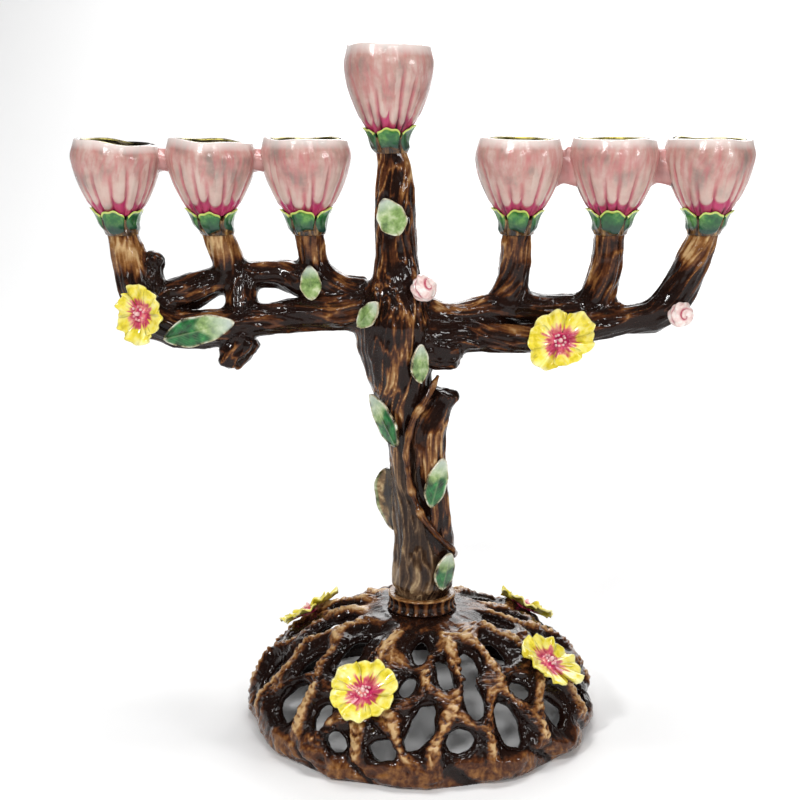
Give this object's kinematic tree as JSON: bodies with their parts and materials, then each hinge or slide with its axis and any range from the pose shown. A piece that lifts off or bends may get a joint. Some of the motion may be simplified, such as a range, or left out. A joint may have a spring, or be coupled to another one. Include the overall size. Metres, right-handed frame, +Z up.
{
  "type": "candelabrum",
  "caption": "Tree-shaped candelabrum: tulip cups on branching boughs hold candles upright, over a gnarled trunk and a pierced, domed root base.",
  "frame": {"origin": "on the table plane, under the middle of the object's width and depth", "axes": "+Z up along the trunk; +X to the right when the row of cups is seen from the front; the front faces -Y"},
  "size_m": [0.2304, 0.1256, 0.241],
  "materials": {
    "bark_glaze": "gloss",
    "petal_glaze": "gloss",
    "calyx_glaze": "gloss",
    "leaf_glaze": "gloss",
    "blossom_glaze": "gloss",
    "rosebud_glaze": "gloss",
    "liner_brass": "polished",
    "clamp_steel": "satin"
  },
  "bodies": {
    "root": {"root_dome": "bark_glaze", "trunk_collar": "bark_glaze", "trunk": "bark_glaze", "side_stem": "bark_glaze", "twining_vine": "bark_glaze", "burr_knot": "bark_glaze", "left_bough": "bark_glaze", "left_upper_limb": "bark_glaze", "left_stub": "bark_glaze", "left_spur": "bark_glaze", "right_bough": "bark_glaze", "right_upper_limb": "bark_glaze", "petal_cup_left_outer": "petal_glaze", "petal_cup_left_middle": "petal_glaze", "petal_cup_left_inner": "petal_glaze", "petal_cup_centre": "petal_glaze", "petal_cup_right_inner": "petal_glaze", "petal_cup_right_middle": "petal_glaze", "petal_cup_right_outer": "petal_glaze", "petal_web_left_outer": "petal_glaze", "petal_web_left_middle": "petal_glaze", "petal_web_right_inner": "petal_glaze", "petal_web_right_middle": "petal_glaze", "calyx_left_outer": "calyx_glaze", "calyx_left_middle": "calyx_glaze", "calyx_left_inner": "calyx_glaze", "calyx_centre": "calyx_glaze", "calyx_right_inner": "calyx_glaze", "calyx_right_middle": "calyx_glaze", "calyx_right_outer": "calyx_glaze", "candle_liner_left_outer": "liner_brass", "candle_liner_left_middle": "liner_brass", "candle_liner_left_inner": "liner_brass", "candle_liner_centre": "liner_brass", "candle_liner_right_inner": "liner_brass", "candle_liner_right_middle": "liner_brass", "candle_liner_right_outer": "liner_brass", "leaf_centre_stem": "leaf_glaze", "leaf_left_stem": "leaf_glaze", "leaf_fork_left": "leaf_glaze", "leaf_fork_right": "leaf_glaze", "leaf_trunk_left": "leaf_glaze", "leaf_trunk_right": "leaf_glaze", "leaf_trunk_foot": "leaf_glaze", "leaf_left_bough": "leaf_glaze", "bract_trunk_back": "leaf_glaze", "blossom_root_1": "blossom_glaze", "blossom_root_2": "blossom_glaze", "blossom_root_3": "blossom_glaze", "blossom_root_4": "blossom_glaze", "blossom_left_bough": "blossom_glaze", "blossom_right_bough": "blossom_glaze", "rosebud_fork": "rosebud_glaze", "rosebud_right_bough": "rosebud_glaze", "clamp_screw": "clamp_steel", "clamp_washer": "clamp_steel"}
  },
  "joints": []
}
